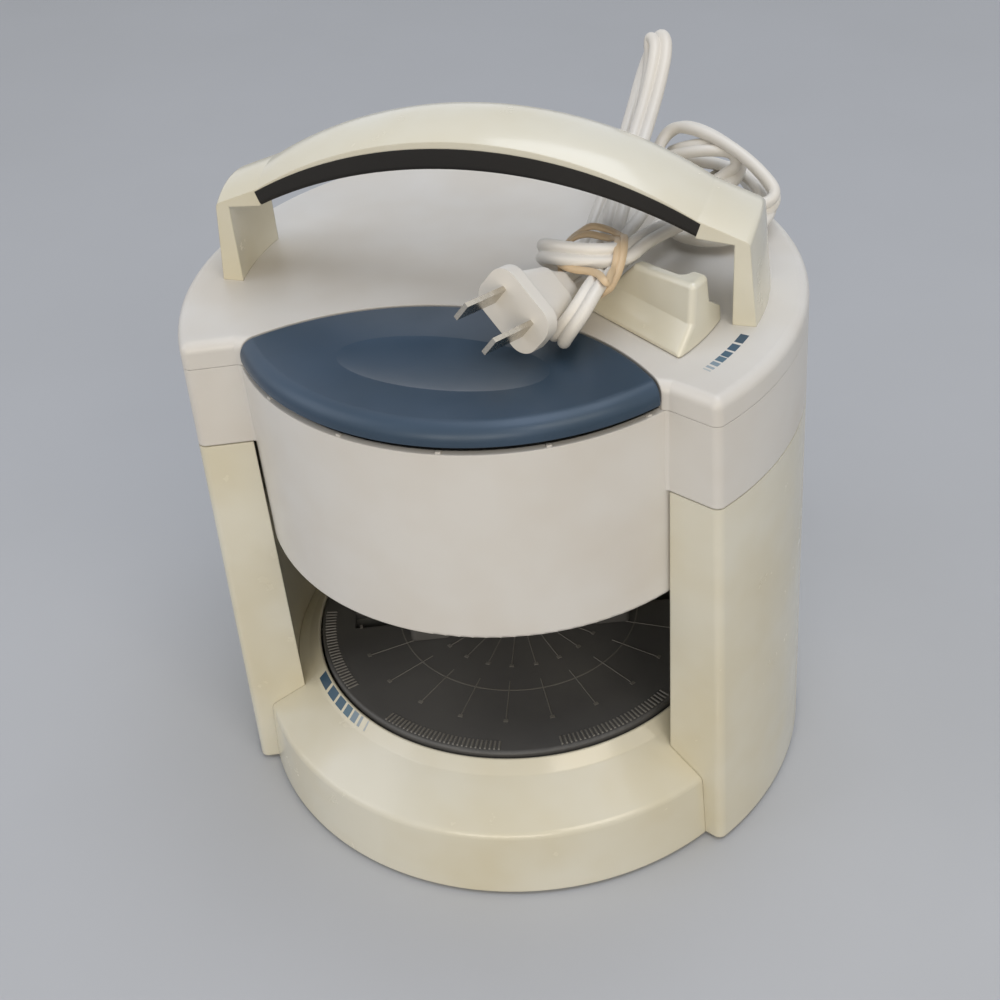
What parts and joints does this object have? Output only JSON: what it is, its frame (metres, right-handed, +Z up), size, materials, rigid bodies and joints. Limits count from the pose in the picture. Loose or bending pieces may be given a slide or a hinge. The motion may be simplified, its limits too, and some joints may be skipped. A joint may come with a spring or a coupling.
{
  "type": "electric jar opener",
  "caption": "Countertop appliance that opens jars: a C-shaped stand with a powered turntable, and a head with a drum, start button, release lever and carrying handle that slides up over the jar",
  "frame": {"origin": "middle of the footprint on the floor, under the rubber feet", "axes": "X to the right and Y to the back as seen from the front, where the drum and the start button are; Z up"},
  "size_m": [0.2094, 0.2659, 0.2403],
  "materials": {
    "cream": "smooth gloss, slightly yellowed",
    "shell": "satin off-white",
    "button": "metallic dark blue satin",
    "grip": "matt dark grey",
    "table": "dark grey rubber",
    "inner": "plain moulded",
    "gear": "natural plastic",
    "steel": "turned",
    "brass": "sintered",
    "pad": "ribbed rubber",
    "dark": "plain",
    "board": "lacquered board",
    "cord": "smooth cord sheath",
    "band": "dull rubber band",
    "blade": "plated"
  },
  "bodies": {
    "stand": {"bottom_plate": "inner", "rubber_feet": "pad", "base_shell": "cream", "rear_housing": "cream", "bay_liner": "cream", "spindle": "steel", "thrust_ring": "inner", "guide_bushes": "brass", "drive_tube_pin": "steel", "base_screws": "steel"},
    "turntable": {"turntable_gear": "gear", "turntable_disc": "inner", "turntable_mat": "table", "turntable_screws": "steel"},
    "jar_scroll": {"jar_scroll": "gear"},
    "jar_jaw_left": {"jar_jaw_left": "table", "jar_pad_left": "pad"},
    "jar_jaw_right": {"jar_jaw_right": "table", "jar_pad_right": "pad"},
    "drive_tube": {"drive_tube": "gear"},
    "head": {"upper_housing": "shell", "deck_plate": "shell", "inner_frame": "inner", "jaw_carrier": "inner", "frame_screws": "steel", "handle": "cream", "grip_insert": "grip", "handle_screws": "steel", "guide_rods": "steel", "motor": "steel", "motor_gearbox": "dark", "idler_axle": "steel", "rod_bush": "brass", "start_switch": "dark", "circuit_board": "board", "board_parts": "dark", "release_spring": "steel", "button_springs": "steel", "strain_relief": "cord", "cord_tail": "cord", "cord_hank": "cord", "cord_tie": "band", "plug_body": "cord", "plug_blades": "blade"},
    "drive_rod": {"drive_rod": "steel", "output_gear": "gear"},
    "idler": {"idler_gear": "gear"},
    "motor_pinion": {"motor_pinion": "brass"},
    "start_button": {"start_button": "button"},
    "release_lever": {"release_lever": "cream", "release_shaft": "inner", "lid_scroll": "gear"},
    "lid_jaw_left": {"lid_jaw_left": "inner", "lid_pad_left": "pad"},
    "lid_jaw_right": {"lid_jaw_right": "inner", "lid_pad_right": "pad"}
  },
  "joints": [
    {"name": "turntable_turn", "type": "hinge", "parent": "stand", "child": "turntable", "pos_m": [0, -0.01141, 0.02], "axis": [0, 0, 1], "continuous": true},
    {"name": "jar_scroll_turn", "type": "hinge", "parent": "turntable", "child": "jar_scroll", "pos_m": [0, -0.01141, 0.02], "axis": [0, 0, 1], "range_deg": [-72, 198]},
    {"name": "jar_jaw_left_slide", "type": "slide", "parent": "turntable", "child": "jar_jaw_left", "axis": [-0.9397, -0.342, 0], "range_m": [-0.008, 0.022]},
    {"name": "jar_jaw_right_slide", "type": "slide", "parent": "turntable", "child": "jar_jaw_right", "axis": [0.9397, 0.342, 0], "range_m": [-0.008, 0.022]},
    {"name": "drive_tube_turn", "type": "hinge", "parent": "stand", "child": "drive_tube", "pos_m": [0, 0.07934, 0.02], "axis": [0, 0, 1], "continuous": true},
    {"name": "head_lift", "type": "slide", "parent": "stand", "child": "head", "axis": [0, 0, 1], "range_m": [0, 0.09]},
    {"name": "drive_rod_turn", "type": "hinge", "parent": "head", "child": "drive_rod", "pos_m": [0, 0.07934, 0.17], "axis": [0, 0, 1], "continuous": true},
    {"name": "idler_turn", "type": "hinge", "parent": "head", "child": "idler", "pos_m": [0, 0.06434, 0.17], "axis": [0, 0, 1], "continuous": true},
    {"name": "motor_pinion_turn", "type": "hinge", "parent": "head", "child": "motor_pinion", "pos_m": [0, 0.04834, 0.17], "axis": [0, 0, 1], "continuous": true},
    {"name": "start_press", "type": "slide", "parent": "head", "child": "start_button", "axis": [0, 0, -1], "range_m": [0, 0.0018], "stiffness_N_per_m": 900, "springref_m": -0.001, "deforming": ["button_springs"]},
    {"name": "release_turn", "type": "hinge", "parent": "head", "child": "release_lever", "pos_m": [0, -0.01141, 0.18], "axis": [0, 0, 1], "range_deg": [0, 10], "stiffness_Nm_per_rad": 0.8, "springref_deg": -5.73},
    {"name": "lid_jaw_left_slide", "type": "slide", "parent": "head", "child": "lid_jaw_left", "axis": [-1, 0, 0], "range_m": [0, 0.0034]},
    {"name": "lid_jaw_right_slide", "type": "slide", "parent": "head", "child": "lid_jaw_right", "axis": [1, 0, 0], "range_m": [0, 0.0034]}
  ],
  "couplings": [
    {"joint": "drive_tube_turn", "follows": "turntable_turn", "ratio": -11.1},
    {"joint": "drive_rod_turn", "follows": "turntable_turn", "ratio": -11.1},
    {"joint": "idler_turn", "follows": "turntable_turn", "ratio": 5.55},
    {"joint": "motor_pinion_turn", "follows": "turntable_turn", "ratio": -9.25},
    {"joint": "jar_jaw_left_slide", "follows": "jar_scroll_turn", "m_per_rad": 0.0063662},
    {"joint": "jar_jaw_right_slide", "follows": "jar_scroll_turn", "m_per_rad": 0.0063662},
    {"joint": "lid_jaw_left_slide", "follows": "release_turn", "m_per_rad": 0.019099},
    {"joint": "lid_jaw_right_slide", "follows": "release_turn", "m_per_rad": 0.019099}
  ]
}
